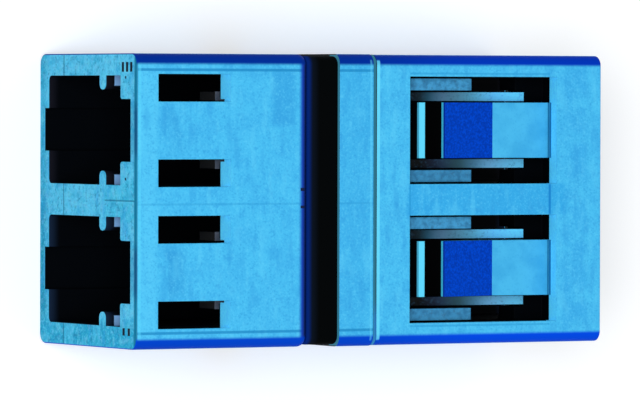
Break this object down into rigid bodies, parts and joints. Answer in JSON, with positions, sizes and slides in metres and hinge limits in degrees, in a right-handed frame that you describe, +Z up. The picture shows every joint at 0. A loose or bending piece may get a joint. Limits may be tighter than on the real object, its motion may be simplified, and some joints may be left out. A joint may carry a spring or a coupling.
{
  "type": "duplex lc fibre adapter",
  "caption": "Duplex fibre-optic adapter: a two-part moulded body with open plug ports at both ends, windows on the latch side and a black panel band.",
  "frame": {"origin": "middle of the underside of the body, with the adapter lying on its wide plain face", "axes": "+X along the plug direction from the front ports to the rear ports, +Y across the two ports, +Z up through the latch side with the windows"},
  "size_m": [0.024, 0.013, 0.0095],
  "materials": {
    "blue_housing": "satin moulded polymer, bright blue",
    "blue_latch": "satin moulded polymer, bright blue",
    "carrier_grey": "fine matt moulded polymer, blue grey",
    "black_band": "matt black elastomer",
    "white_ceramic": "ground zirconia ceramic"
  },
  "bodies": {
    "adapter_body": {"front_housing": "blue_housing", "rear_housing": "blue_housing", "panel_band": "black_band", "split_sleeve_a": "white_ceramic", "front_carrier_a": "carrier_grey", "rear_carrier_a": "carrier_grey", "split_sleeve_b": "white_ceramic", "front_carrier_b": "carrier_grey", "rear_carrier_b": "carrier_grey"},
    "latch_a": {"rear_latch_a": "blue_latch"},
    "latch_b": {"rear_latch_b": "blue_latch"}
  },
  "joints": [
    {"name": "rear_latch_a_lift", "type": "hinge", "parent": "adapter_body", "child": "latch_a", "pos_m": [0.01013, 0.00313, 0.00836], "axis": [0, 1, 0], "range_deg": [0, 7], "stiffness_Nm_per_rad": 0.1},
    {"name": "rear_latch_b_lift", "type": "hinge", "parent": "adapter_body", "child": "latch_b", "pos_m": [0.01013, -0.00313, 0.00836], "axis": [0, 1, 0], "range_deg": [0, 7], "stiffness_Nm_per_rad": 0.1}
  ]
}
